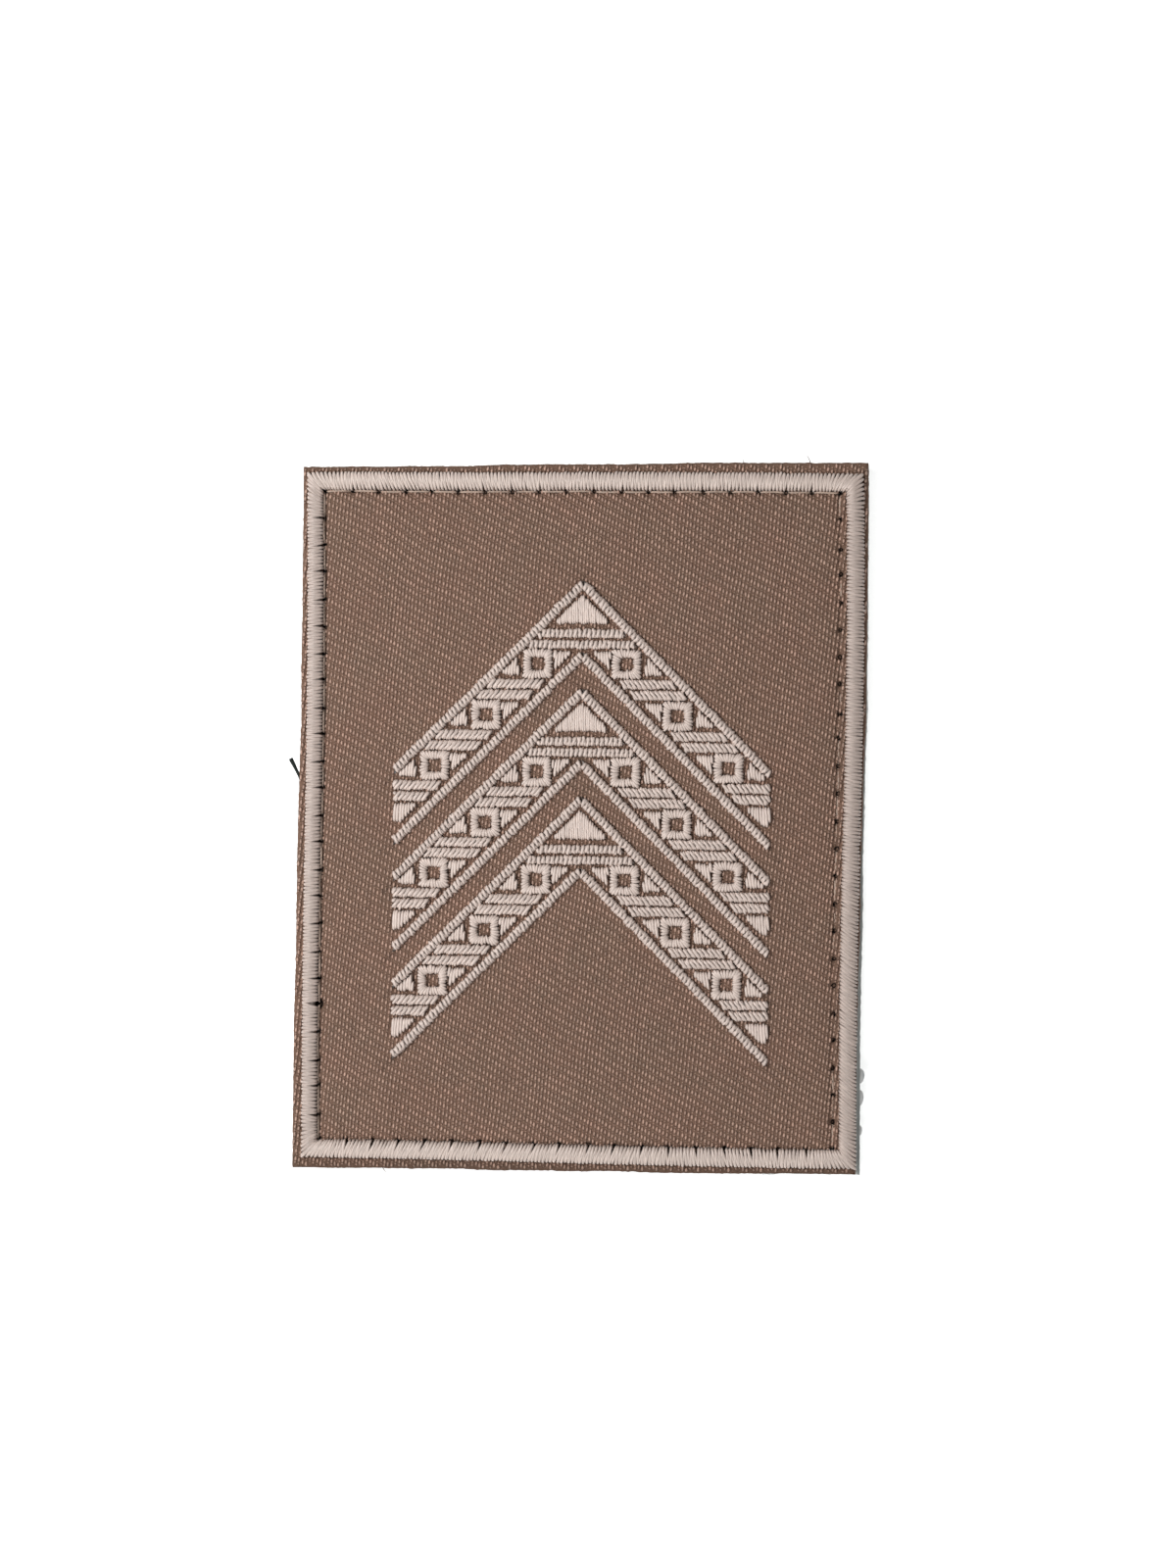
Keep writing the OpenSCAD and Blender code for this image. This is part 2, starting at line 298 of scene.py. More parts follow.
def add_object(name, data):
    obj = bpy.data.objects.new(name, data)
    bpy.context.scene.collection.objects.link(obj)
    return obj


def waves(xy, size, strength, seed, count=5):
    """A smooth uneven height over the plane, from a few crossing waves."""
    pick = np.random.default_rng(seed)
    angles = pick.uniform(0, math.tau, count)
    lengths = size * pick.uniform(0.6, 1.6, count)
    phases = pick.uniform(0, math.tau, count)
    total = 0
    for angle, length, phase in zip(angles, lengths, phases):
        across = xy[..., 0] * math.cos(angle) + xy[..., 1] * math.sin(angle)
        total = total + np.sin(math.tau * across / length + phase)
    return strength * total / math.sqrt(count)


# Materials


def linear(channel):
    """A channel from 0 to 255 as a picture shows it, as the linear value that shaders use."""
    c = channel / 255
    return c / 12.92 if c <= 0.04045 else ((c + 0.055) / 1.055) ** 2.4


def srgb(r, g, b):
    return (linear(r), linear(g), linear(b), 1)


class Shader:
    """A material with short ways to add and link its nodes."""

    def __init__(self, name, roughness, sheen=0.0, specular=0.4):
        self.material = bpy.data.materials.new(name)
        self.material.use_nodes = True
        self.tree = self.material.node_tree
        self.surface = self.tree.nodes["Principled BSDF"]
        self.set("Roughness", roughness)
        self.set("Sheen Weight", sheen)
        self.set("Sheen Roughness", 0.4)
        self.set("Specular IOR Level", specular)

    def set(self, socket, value):
        self.surface.inputs[socket].default_value = value

    def node(self, kind, inputs=None, **settings):
        made = self.tree.nodes.new(kind)
        for key, value in settings.items():
            setattr(made, key, value)
        for key, value in (inputs or {}).items():
            if isinstance(value, bpy.types.NodeSocket):
                self.tree.links.new(value, made.inputs[key])
            else:
                made.inputs[key].default_value = value
        return made

    def place(self):
        return self.node("ShaderNodeTexCoord").outputs["Object"]

    def mark(self):
        """The three marks of a corner."""
        read = self.node("ShaderNodeAttribute", attribute_name="mark")
        return self.node("ShaderNodeSeparateXYZ", {0: read.outputs["Vector"]}).outputs

    def math(self, operation, a, b=0.0):
        return self.node("ShaderNodeMath", {0: a, 1: b}, operation=operation).outputs[0]

    def noise(self, place, scale, detail=2.0, roughness=0.5):
        inputs = {"Vector": place, "Scale": scale, "Detail": detail, "Roughness": roughness}
        return self.node("ShaderNodeTexNoise", inputs).outputs["Fac"]

    def ramp(self, value, stops):
        """stops is [(position, colour)]."""
        made = self.node("ShaderNodeValToRGB", {"Fac": value})
        bar = made.color_ramp.elements
        while len(bar) < len(stops):
            bar.new(0.5)
        for element, (position, colour) in zip(bar, stops):
            element.position, element.color = position, colour
        return made.outputs["Color"]

    def mix(self, share, a, b, blend="MIX"):
        """Mixes two colours, whose sockets on this node are 6 and 7."""
        made = self.node("ShaderNodeMix", {0: share, 6: a, 7: b}, data_type="RGBA", blend_type=blend)
        return made.outputs[2]

    def times(self, colour, factor):
        return self.mix(1.0, colour, factor, "MULTIPLY")

    def colour(self, value):
        self.tree.links.new(value, self.surface.inputs["Base Color"])

    def bump(self, height, distance, strength=0.6):
        inputs = {"Height": height, "Distance": distance * MM, "Strength": strength}
        made = self.node("ShaderNodeBump", inputs)
        self.tree.links.new(made.outputs[0], self.surface.inputs["Normal"])


def grey(value):
    return (value, value, value, 1)


def warm(value, warmth):
    """A grey that is a little browner, or bluer where warmth is negative."""
    return (value, value * (1 - 0.5 * warmth), value * (1 - warmth), 1)


def drifting_brown(shader, place):
    """The twill's brown, which drifts a little between a reddish and a greenish grey."""
    drift = shader.noise(place, 260, 3, 0.6)
    return shader.ramp(drift, [(0.3, srgb(185, 149, 131)), (0.7, srgb(180, 149, 131))])


def twill_material():
    """Polyester yarn: painted shade at the roots, painted light on the crests, and some yarns paler than
    others.
    """
    shader = Shader("brown_twill", 0.45, sheen=0.05, specular=0.45)
    place = shader.place()
    _, crest, own = shader.mark()
    colour = drifting_brown(shader, place)
    # Painted shade and highlight: darker and browner at a yarn's root, lighter and cooler on its crest
    depth = shader.ramp(crest, [
        (0.0, warm(0.3, 0.16)),
        (0.4, warm(0.61, 0.07)),
        (0.8, warm(0.85, -0.01)),
        (1.0, warm(1.02, -0.04)),
    ])
    yarn = shader.ramp(own, grey_stops((0.0, 0.84), (0.5, 1.0), (1.0, 1.22)))
    shader.colour(shader.times(shader.times(colour, depth), yarn))
    stretched = shader.node("ShaderNodeVectorMath", {0: place, 1: (1, 0.14, 1)}, operation="MULTIPLY")
    shader.bump(shader.noise(stretched.outputs[0], 26000, 2), 0.02, 0.5)
    return shader.material


def cloth_material():
    """The body of the twill between its floats, with painted shade of the yarns, and more painted shade
    where it is pressed in.
    """
    shader = Shader("brown_cloth", 0.8, specular=0.15)
    place = shader.place()
    dark, _, _ = shader.mark()
    colour = drifting_brown(shader, place)
    fine = shader.noise(place, 5200, 3, 0.7)
    # Painted shade: the cloth between the floats is dimmed to half or less, as in the yarns' shade
    shade = shader.ramp(fine, [(0.3, warm(0.24, 0.16)), (0.7, warm(0.51, 0.1))])
    # Painted shade: the cloth darkens towards near black where holes and stitches press it in
    shader.colour(shader.mix(dark, shader.times(colour, shade), srgb(22, 15, 12)))
    shader.bump(shader.noise(place, 7000, 3), 0.06, 0.7)
    return shader.material


def grey_stops(*stops):
    return [(position, grey(value)) for position, value in stops]


def thread_material(name, tone, spread, middle=0.95, roughness=0.42, sheen=0.2, specular=0.5):
    """Twisted filaments: fine streaks wind along each strand, painted shade darkens its sides and
    its ends, its middle is painted duller than a painted highlight where it bends down, and its tone is a
    little its own."""
    shader = Shader(name, roughness, sheen, specular)
    along, around, own = shader.mark()
    stretched = shader.math("MULTIPLY", along, 0.7)
    wound = shader.math("ADD", shader.math("MULTIPLY", along, 0.8), shader.math("MULTIPLY", around, 2.0))
    far = shader.math("MULTIPLY", own, 50.0)
    vector = shader.node("ShaderNodeCombineXYZ", {0: stretched, 1: wound, 2: far}).outputs[0]
    streaks = shader.noise(vector, 6, 3, 0.65)
    streak_tone = shader.ramp(streaks, grey_stops((0.3, 1 - spread), (0.7, 1 + spread)))
    # For stitches, own also carries painted sheen: threads along Y are painted lighter, threads along X
    # darker
    own_tone = shader.ramp(own, grey_stops((0.0, 1 - 0.6 * spread), (1.0, 1 + 0.6 * spread)))
    # Painted shade on the strand's sides, towards its bottom
    painted_side_shade = shader.ramp(around, grey_stops(*both_ways((0.2, 0.7), (0.38, 0.96), (0.5, 1))))
    # Painted shade at the strand's ends and a painted highlight where it bends down; middle sets how dull
    # its top is painted
    painted_end_light = both_ways((0.0, 0.64), (0.05, 1), (0.16, 1.05), (0.5, middle))
    painted_end_light = shader.ramp(along, grey_stops(*painted_end_light))
    colour = shader.times(shader.times(tone, streak_tone), own_tone)
    shader.colour(shader.times(shader.times(colour, painted_side_shade), painted_end_light))
    shader.bump(streaks, 0.03, 0.5)
    return shader.material


def tape_material(name, low, high):
    """Woven nylon tape, pale and a little greenish."""
    shader = Shader(name, 0.5, sheen=0.1, specular=0.5)
    place = shader.place()
    inputs = {"Vector": place, "Scale": 700, "Distortion": 1.5, "Detail": 2}
    weave = shader.node("ShaderNodeTexWave", inputs).outputs["Fac"]
    shader.colour(shader.ramp(weave, [(0.1, low), (0.9, high)]))
    shader.bump(weave, 0.05)
    return shader.material


def nylon_material():
    shader = Shader("hook_nylon", 0.32, specular=0.55)
    _, _, own = shader.mark()
    shader.colour(shader.ramp(own, [(0.0, srgb(146, 151, 146)), (1.0, srgb(188, 192, 187))]))
    return shader.material


# The needle holes' near-black colour is painted shade
def hole_shade_material():
    shader = Shader("needle_hole", 0.9, specular=0.1)
    fine = shader.noise(shader.place(), 9000, 2)
    shader.colour(shader.ramp(fine, [(0.3, srgb(14, 10, 9)), (0.8, srgb(46, 34, 29))]))
    return shader.material


TWILL = twill_material()
CLOTH = cloth_material()
THREAD = thread_material("beige_thread", srgb(221, 203, 193), 0.17)
BORDER_THREAD = thread_material("border_thread", srgb(208, 191, 181), 0.2)
# A shaded copy of the border's thread for the left and right sides: painted shade, with its middle painted
# duller still
SIDE_SHADED_THREAD = thread_material("side_border_thread", srgb(204, 186, 176), 0.2, middle=0.84)
SEAM_THREAD = thread_material("seam_thread", srgb(180, 158, 142), 0.2, roughness=0.5)
TAIL_THREAD = thread_material(
    "dark_thread", srgb(24, 33, 31), 0.3, roughness=0.6, sheen=0.0, specular=0.25
)
FIBRE = thread_material("brown_fibre", srgb(98, 80, 70), 0.2, roughness=0.6)
TAPE = tape_material("hook_tape", srgb(184, 189, 185), srgb(220, 224, 220))
COATING = tape_material("tape_coating", srgb(230, 235, 234), srgb(247, 250, 249))
NYLON = nylon_material()
FILAMENT = thread_material("tape_filament", srgb(150, 163, 164), 0.25, sheen=0.0)
HOLE_SHADE = hole_shade_material()


# The cloth

(GROUND,) = solids_of("twill_ground")
GROUND_LEVELS = np.unique(np.round(GROUND[:, 2], 3))
CLOTH_Z, WIDEST_Z, GROOVE_Z, FIELD_Z = GROUND_LEVELS[[0, 1, 3, -1]]
MARGIN_Z = GROUND_LEVELS[4]
CLOTH_MIDDLE = 0.5 * (CLOTH_Z + MARGIN_Z)
CUT_SIDES = sides_of(ring_at(GROUND, WIDEST_Z))
SEAM_SIDES = sides_of(ring_at(GROUND, GROOVE_Z))
MOTIFS = [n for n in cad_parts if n.startswith(("top_", "middle_", "bottom_"))]
PADS = {n: solids_of(n) for n in MOTIFS}


def read_border():
    """Each side of the border: its inner and outer edge and its height."""
    found = []
    for name, way in (("bottom", (0, -1)), ("right", (1, 0)), ("top", (0, 1)), ("left", (-1, 0))):
        (solid,) = solids_of(f"border_{name}")
        base = solid[:, 2].min()
        edge = solid[solid[:, 2] < base + 0.002, :2]
        out = edge @ np.array(way)
        along = edge @ np.array([-way[1], way[0]])
        split = (out.max() + out.min()) / 2
        order = np.argsort(along)
        found.append({
            "name": name,
            "outer": edge[order][out[order] > split],
            "inner": edge[order][out[order] < split],
            "base": base,
            "rise": np.ptp(solid[:, 2]),
        })
    return found


def edge_sides(edge):
    """The border's inner or outer edge as its four sides, along +X or +Y."""
    return [side[edge] if side["name"] in ("bottom", "right") else side[edge][::-1] for side in BORDER]


BORDER = read_border()
INNER_SIDES = edge_sides("inner")
OUTER_SIDES = edge_sides("outer")


def inside(sides, xy):
    """How far points lie inside four sides, negative outside them."""
    bottom, right, top, left = sides
    x, y = xy[..., 0], xy[..., 1]
    return np.minimum.reduce([
        x - np.interp(y, left[:, 1], left[:, 0]),
        np.interp(y, right[:, 1], right[:, 0]) - x,
        y - np.interp(x, bottom[:, 0], bottom[:, 1]),
        np.interp(x, top[:, 0], top[:, 1]) - y,
    ])


def needle_holes():
    """Where the needle went through, side by side, a hole at each corner."""
    found = []
    for side in SEAM_SIDES:
        along = np.cumsum(np.r_[0, np.linalg.norm(np.diff(side, axis=0), axis=1)])
        count = round(along[-1] / SEAM_PITCH)
        share = (np.arange(count + 1) + rng.normal(0, 0.03, count + 1)) / count
        found.append(on_side(side, np.clip(share, 0, 1)) + rng.normal(0, 0.025, (count + 1, 2)))
    return found


HOLES = needle_holes()
# The holes in order round the seam, with one at each corner
HOLE_LOOP = np.concatenate([h[:-1] for h in HOLES[:2]] + [h[:0:-1] for h in HOLES[2:]])


def cloth_top(xy):
    """Height of the cloth's upper face."""
    d = inside(SEAM_SIDES, xy)
    stops = [-GROOVE_WIDTH, 0, 0.15 * PILLOW_WIDTH, 0.5 * PILLOW_WIDTH, PILLOW_WIDTH]
    step = FIELD_Z - MARGIN_Z
    z = np.interp(d, stops, [MARGIN_Z, GROOVE_Z, MARGIN_Z + 0.2 * step, MARGIN_Z + 0.75 * step, FIELD_Z])
    return z + waves(xy, 9, 0.012, 3) * np.clip(1 + d / UNEVEN_MARGIN, 0, 1)


def nicks(share, fray, seed):
    """How far a cut edge strays at shares of its length."""
    return waves(np.stack([share * 60, share * 0], axis=-1), 1.1, fray, seed)


def cut_point(s, t, fray):
    """The cloth's own coordinates, from 0 to 1 each way, as places inside its cut outline."""
    bottom, right, top, left = CUT_SIDES
    low, high, near, far = on_side(bottom, s), on_side(top, s), on_side(left, t), on_side(right, t)
    low[..., 1] += nicks(s, fray, 21) - CUT_OUT["bottom"]
    high[..., 1] += nicks(s, fray, 22) + CUT_OUT["top"]
    near[..., 0] += nicks(t, fray, 23)
    far[..., 0] += nicks(t, fray, 24)
    s, t = s[..., None], t[..., None]
    lower_corners = (1 - s) * (1 - t) * bottom[0] + s * (1 - t) * bottom[-1]
    upper_corners = (1 - s) * t * top[0] + s * t * top[-1]
    return (1 - t) * low + t * high + (1 - s) * near + s * far - lower_corners - upper_corners


def pressed(xy):
    """How far needle holes and stitches press the cloth in, and how much painted shade darkens it there and
    in the margin below the border.
    """
    dip = np.zeros(xy.shape[:-1])
    dark = np.zeros(xy.shape[:-1])
    for hole in np.concatenate(HOLES):
        width = HOLE_R * swell_of(hole)
        near = np.exp(-((xy - hole) ** 2).sum(axis=-1) / width**2)
        dip += HOLE_DEPTH * near
        dark = np.maximum(dark, 0.5 * near)
    pulled = pull(xy)
    dip += PULL_DEPTH * pulled
    dark = np.maximum.reduce([dark, 0.25 * pulled, BOTTOM_PAINTED_SHADE * in_bottom_margin(xy)])
    return dip, np.clip(1.2 * dark, 0, 1)


def cut_walls(rim):
    """Rings down the cloth's cut edge from the rim of its upper face."""
    out = rim[:, :2] - rim[:, :2].mean(axis=0)
    out /= np.linalg.norm(out, axis=1)[:, None]
    walls = []
    for depth, draw in CUT_PROFILE:
        xy = rim[:, :2] + draw * out + 0.02 * rng.normal(0, 1, out.shape)
        z = rim[:, 2] + depth * (CLOTH_Z + 0.01 - rim[:, 2])
        walls.append(np.column_stack([xy, z]))
    return walls


def make_cloth():
    """The body of the cloth: a fine upper face that dips at the seam and its needle holes."""
    columns, rows = CLOTH_GRID
    s, t = np.meshgrid(np.linspace(0, 1, columns), np.linspace(0, 1, rows), indexing="ij")
    xy = cut_point(s, t, 0.012)
    dip, dark = pressed(xy)
    edge = np.minimum.reduce([s * columns, (1 - s) * columns, t * rows, (1 - t) * rows])
    z = cloth_top(xy) - 0.02 - dip - 0.09 * np.exp(-edge / 0.8)
    top = lifted(xy, z).reshape(-1, 3)
    index = np.arange(columns * rows).reshape(columns, rows)
    grid = np.stack([index[:-1, :-1], index[1:, :-1], index[1:, 1:], index[:-1, 1:]], axis=-1)
    rim = np.concatenate([index[:-1, 0], index[-1, :-1], index[:0:-1, -1], index[0, :0:-1]])
    walls = cut_walls(top[rim])
    n, first = len(rim), len(top)
    loops = [rim] + [first + k * n + np.arange(n) for k in range(len(walls))]
    faces = [grid.reshape(-1, 4)]
    for upper, lower in zip(loops, loops[1:]):
        faces.append(np.stack([upper, lower, np.roll(lower, -1), np.roll(upper, -1)], axis=-1))
    faces.append(loops[-1][None, ::-1])
    marks = np.zeros((len(top) + n * len(walls), 3))
    # The first mark carries the painted shade
    marks[: len(top), 0] = dark.ravel()
    shape = Shape()
    shape.add(np.concatenate([top] + walls), faces, marks)
    return shape.piece("twill_cloth", CLOTH, "brown_twill", ["twill_ground"])


def motif_depth(xy):
    """How far points lie inside the nearest motif, -1 where none is near."""
    flat = xy.reshape(-1, 2)
    depth = np.full(len(flat), -1.0)
    for solids in PADS.values():
        for solid in solids:
            ring, hole = outlines(solid)
            near = ((flat > ring.min(axis=0) - 1) & (flat < ring.max(axis=0) + 1)).all(axis=1)
            found = depth_in(ring, flat[near])
            if hole is not None:
                found = np.minimum(found, -depth_in(hole, flat[near]))
            depth[near] = np.maximum(depth[near], found)
    return depth.reshape(xy.shape[:-1])


def in_bottom_margin(xy):
    """True for places in the cloth's margin below the border."""
    outer = OUTER_SIDES[0]
    return xy[..., 1] < np.interp(xy[..., 0], outer[:, 0], outer[:, 1])


def pull(xy):
    """How much the stitches draw the cloth down: most at the edges of motifs and border."""
    to_edges = np.abs([inside(sides, xy) for sides in (INNER_SIDES, OUTER_SIDES)])
    near = np.maximum(motif_depth(xy) / MOTIF_PULL, -np.minimum(*to_edges) / BORDER_PULL)
    return np.clip(1 + near, 0, 1)


def outlines(solid):
    """A motif's outline, and the outline of its hole if it is a hollow square."""
    ring = footprint(solid)
    if len(ring) < 8:
        return ring, None
    far = np.linalg.norm(ring - ring.mean(axis=0), axis=1)
    return ring[far > np.median(far)], ring[far < np.median(far)]


def swell_of(spot):
    """How many times wider than usual a needle hole is."""
    return TORN_WIDTH if np.linalg.norm(spot - TORN_HOLE) < 0.5 * SEAM_PITCH else 1


def float_places(shift):
    """The weave's lattice over the cloth, moved by shift, without what stitches hide."""
    steps = np.arange(-FLOAT_REACH, FLOAT_REACH)
    i, j = np.meshgrid(steps, steps, indexing="ij")
    xy = i[..., None] * FLOAT_ROW + j[..., None] * FLOAT_STEP + shift
    xy = xy.reshape(-1, 2)
    xy = xy + np.stack([waves(xy, 14, 0.1, 5), waves(xy, 11, 0.1, 6)], axis=-1)
    xy = xy + rng.normal(0, 0.014, xy.shape)
    xy = xy[inside(CUT_SIDES, xy) > 0.12]
    hidden = (inside(OUTER_SIDES, xy) > 0.15) & (inside(INNER_SIDES, xy) < -0.15)
    hidden |= motif_depth(xy) > 0.12
    for hole in np.concatenate(HOLES):
        hidden |= np.linalg.norm(xy - hole, axis=1) < 0.26 * swell_of(hole)
    return xy[~hidden]


def add_wefts(shape, xy):
    """The weft's dots between the floats: low four-sided bumps."""
    half_l, half_w, rise = WEFT_SIZE
    n = len(xy)
    rim = np.array([[0, 1], [-1, 0], [0, -1], [1, 0], [0, 0]]) * [half_w, half_l]
    size = 1 + rng.normal(0, 0.12, (n, 1, 2))
    z = cloth_top(xy)[:, None] + np.array([-0.04, -0.04, -0.04, -0.04, rise])
    z -= PULL_DEPTH * pull(xy)[:, None]
    corners = lifted(xy[:, None] + rim[None] * size, z)
    first = 5 * np.arange(n)[:, None]
    k = np.arange(4)
    flanks = np.stack([(k + 1) % 4, k, np.full(4, 4)], axis=-1)
    own = rng.random(n)[:, None]
    # The crest mark sets the twill's painted shade at the dot's foot and painted light on its top
    crest = np.array([[0.2, 0.2, 0.2, 0.2, 0.9]])
    marks = np.stack(np.broadcast_arrays(own * 0, crest, own), axis=-1)
    shape.add(corners, [(first[:, None] + flanks[None]).reshape(-1, 3), first + k[None]], marks)


def cut_short(xy, along, lengths):
    """The lengths of floats, shorter where they would reach past the cloth's cut edge."""
    depth = inside(CUT_SIDES, xy)
    for sign in (-1, 1):
        past = inside(CUT_SIDES, xy + sign * FLOAT_SIZE[0] * 1.05 * along)
        keep = np.clip((depth - 0.02) / (depth - past + 1e-9), 0.25, 1)
        keep = np.where(past < 0.02, keep, 1)[:, None]
        lengths = np.where(lengths * sign > 0, lengths * keep, lengths)
    return lengths


def make_floats(name, xy, wefts):
    """Yarn floats of the twill: low pillows, each a little turned and of its own size."""
    half_l, half_w, rise = FLOAT_SIZE
    n = len(xy)
    lean = math.atan2(*(FLOAT_ROW - FLOAT_STEP)[::-1]) + rng.normal(0, 0.05, n)
    along = heading(lean)
    across = left_of(along)
    size = 1 + rng.normal(0, 0.06, (n, 3))
    rim_l, rim_w = FLOAT_RIM.T
    lengths = np.concatenate([rim_l, FLOAT_TOP[0] * rim_l]) * half_l * size[:, :1]
    widths = np.concatenate([rim_w, FLOAT_TOP[1] * rim_w]) * half_w * size[:, 1:2]
    lengths = cut_short(xy, along, lengths)
    places = xy[:, None] + along[:, None] * lengths[..., None] + across[:, None] * widths[..., None]
    pulled = pull(xy)[:, None]
    up = np.repeat([-0.035, rise], 6) * size[:, 2:]
    z = cloth_top(xy)[:, None] + up - PULL_DEPTH * pulled
    first = 12 * np.arange(n)[:, None]
    k = np.arange(6)
    ring = np.stack([k, (k + 1) % 6, 6 + (k + 1) % 6, 6 + k], axis=-1)
    flanks = (first[:, None] + ring[None]).reshape(-1, 4)
    own = rng.random(n)[:, None]
    # Painted shade: the floats' crests are dimmed where stitches draw the cloth down and in the margin below
    # the border
    shade = (1 - 0.3 * pulled) * (1 - BOTTOM_PAINTED_SHADE * in_bottom_margin(xy)[:, None])
    crest = np.r_[0.45, 0, 0.45, 0.45, 0, 0.45, np.ones(6)][None] * shade
    marks = np.stack(np.broadcast_arrays(own * 0, crest, own), axis=-1)
    shape = Shape()
    shape.add(lifted(places, z), [flanks, first + k[None, ::-1], first + 6 + k[None]], marks)
    add_wefts(shape, wefts)
    return shape.piece(name, TWILL, "brown_twill")


def make_seam():
    """The lockstitch: a thread from hole to hole, on the face and under the tape."""
    shape = Shape()
    t, arch, taper = SEAM_ARCH.T
    ahead = np.roll(HOLE_LOOP, -1, axis=0)
    run = ahead - HOLE_LOOP
    length = np.linalg.norm(run, axis=1)[:, None]
    starts = HOLE_LOOP + run / length * SEAM_START
    ends = ahead - run / length * SEAM_START
    xy = starts[:, None] + (ends - starts)[:, None] * t[None, :, None]
    xy = xy + 0.03 * rng.normal(0, 1, (len(xy), 1, 2)) * np.sin(math.pi * t)[None, :, None]
    side = at_height(left_of(run), 0) / length
    width = np.broadcast_to(SEAM_R * taper, xy.shape[:2])
    sunk = np.repeat(SEAM_SUNK, [len(h) - 1 for h in HOLES]) + rng.uniform(-0.04, 0.04, len(xy))
    on_face = cloth_top(xy) + 0.02 - sunk[:, None] + SEAM_R * arch
    under_tape = np.full(xy.shape[:2], TAPE_UNDER) - SEAM_R * arch
    for z in (on_face, under_tape):
        add_tubes(shape, lifted(xy, z), side, width, width * 0.75)
    return shape.piece("seam_thread", SEAM_THREAD, "brown_twill")


def make_holes():
    """The needle holes: a small pressed lip round a funnel painted near black as the shade in the hole."""
    shape = Shape()
    turn = math.tau * np.arange(12) / 12
    for hole in HOLE_LOOP:
        z = cloth_top(hole[None])[0] - 0.05
        swell = swell_of(hole) * (1 + 0.1 * rng.normal(0, 1))
        oval = heading(turn) * (1 + 0.12 * np.sin(2 * turn + rng.uniform(0, 6)))[:, None]
        add_loft(shape, [at_height(hole + swell * r * oval, z + h) for r, h in HOLE_PROFILE])
    return shape.piece("needle_holes", HOLE_SHADE, "brown_twill")


# The embroidery


def clip_lines(ring, angle, pitch, phase):
    """Where parallel lines at an angle cross a convex ring: the starts and the ends."""
    along = np.array([math.cos(angle), math.sin(angle)])
    across = np.array([-along[1], along[0]])
    u, v = ring @ along, ring @ across
    starts, ends = [], []
    for offset in np.arange(v.min() + phase * pitch, v.max(), pitch):
        hits = []
        for k in range(len(ring)):
            a, b = v[k] - offset, v[(k + 1) % len(ring)] - offset
            if (a < 0) != (b < 0):
                hits.append(u[k] + (u[(k + 1) % len(ring)] - u[k]) * a / (a - b))
        if len(hits) == 2 and abs(hits[1] - hits[0]) > 0.3:
            hits.sort()
            starts.append(hits[0] * along + offset * across)
            ends.append(hits[1] * along + offset * across)
    return np.array(starts).reshape(-1, 2), np.array(ends).reshape(-1, 2)


def add_stitches(
    shape, starts, ends, base, rise, lift=0.0, loose=0.045, width=1.0, flare=0.0,
    arch=ARCH, reach=(MOTIF_REACH, MOTIF_REACH),
):
    """Stitches from hole to hole, whose tops lie rise above base, or lift higher. With
    flare they widen from start to end. Reach is how far they go past either. Threads that
    run along Y get the higher numbers of their own, which paint them lighter as painted sheen."""
    n = len(starts)
    if not n:
        return
    run = ends - starts
    way = run / np.linalg.norm(run, axis=1)[:, None]
    left = left_of(way)
    early, late = reach
    starts = starts - way * rng.normal(early, loose, (n, 1)) + left * rng.normal(0, loose * 0.5, (n, 1))
    ends = ends + way * rng.normal(late, loose, (n, 1)) + left * rng.normal(0, loose * 0.5, (n, 1))
    t, height, taper = arch.T
    xy = starts[:, None] + (ends - starts)[:, None] * t[None, :, None]
    crown = rise - THREAD_H + lift + rng.normal(0, 0.012, n)
    z = base + crown[:, None] * height
    thick = taper * (1 + flare * (t - 0.5))
    half_w = THREAD_W * width * (1 + rng.normal(0, 0.07, n))[:, None] * thick
    half_h = np.broadcast_to(THREAD_H * (0.7 + 0.3 * taper), half_w.shape)
    side = at_height(left, 0)
    # Painted sheen: threads along Y get higher numbers, which paint them lighter
    own = 0.45 * rng.random(n) + 0.55 * way[:, 1] ** 2
    add_tubes(shape, lifted(xy, z), side, half_w, half_h, own=own)


def broken(starts, ends, length):
    """Splits long stitches into shorter ones, at uneven places."""
    parts = []
    for start, end in zip(starts, ends):
        count = max(1, round(np.linalg.norm(end - start) / length))
        cuts = (np.arange(count + 1) + np.r_[0, rng.uniform(-0.3, 0.3, count - 1), 0]) / count
        for k in range(count):
            low = cuts[k] - (OVERLAP if k > 0 else 0)
            high = cuts[k + 1] + (OVERLAP if k < count - 1 else 0)
            parts.append((start + (end - start) * low, start + (end - start) * high))
    return (np.array(k) for k in zip(*parts))


def add_underlay(shape, ring, base, rise):
    """The packing stitches under a motif, as a low block."""
    foot, crown = inset(ring, 0.08), inset(ring, 0.18)
    heights = ((foot, base - 0.05), (foot, base + 0.25 * rise), (crown, base + 0.6 * rise))
    add_loft(shape, [at_height(outline, z) for outline, z in heights])


